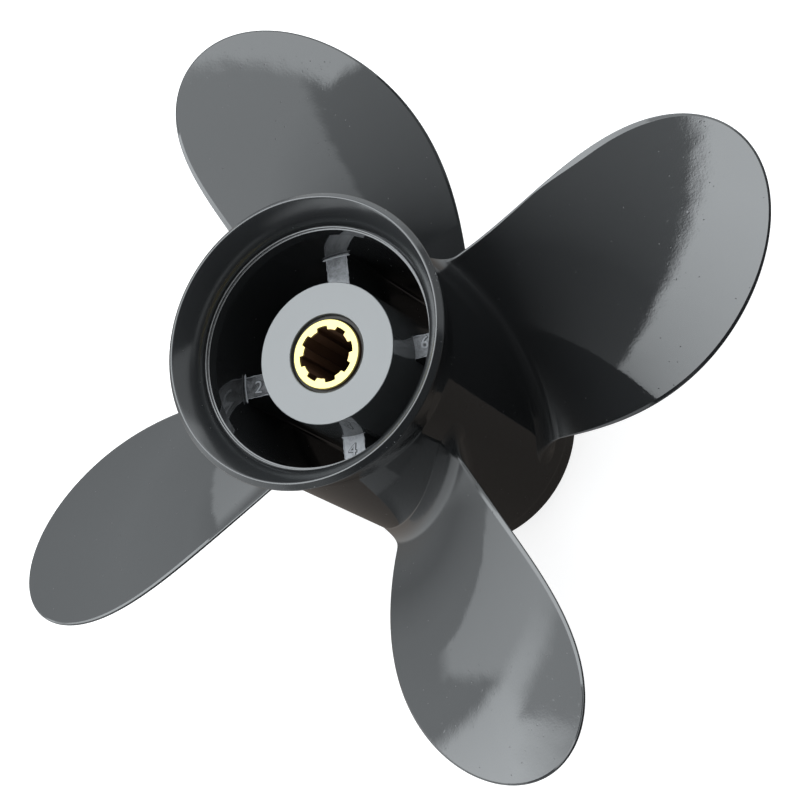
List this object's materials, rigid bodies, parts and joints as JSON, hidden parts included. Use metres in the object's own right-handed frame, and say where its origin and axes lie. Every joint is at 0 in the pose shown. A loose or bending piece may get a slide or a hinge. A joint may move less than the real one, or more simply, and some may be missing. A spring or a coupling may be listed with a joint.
{
  "type": "outboard motor propeller",
  "caption": "Right-hand skewed-blade outboard propeller: flared through-hub exhaust barrel, ribbed inner hub and a rubber-mounted splined brass sleeve.",
  "frame": {"origin": "centre of the front rim's plane, on the hub axis", "axes": "+Z along the hub axis towards the flared aft end, +X along the reference line of blade 1"},
  "size_m": [0.2322, 0.2322, 0.107],
  "materials": {
    "grey_paint": "gloss dark grey paint on cast aluminium",
    "hub_paint": "faced pale grey end on painted cast aluminium",
    "black_rubber": "matt black moulded rubber",
    "machined_brass": "bright machined brass"
  },
  "bodies": {
    "root": {"barrel": "grey_paint", "flare_ring": "grey_paint", "inner_hub": "hub_paint", "rib_1": "grey_paint", "rib_2": "grey_paint", "rib_3": "grey_paint", "rib_4": "grey_paint", "blade_1": "grey_paint", "blade_2": "grey_paint", "blade_3": "grey_paint", "blade_4": "grey_paint", "rubber_bushing": "black_rubber", "splined_sleeve": "machined_brass"}
  },
  "joints": []
}
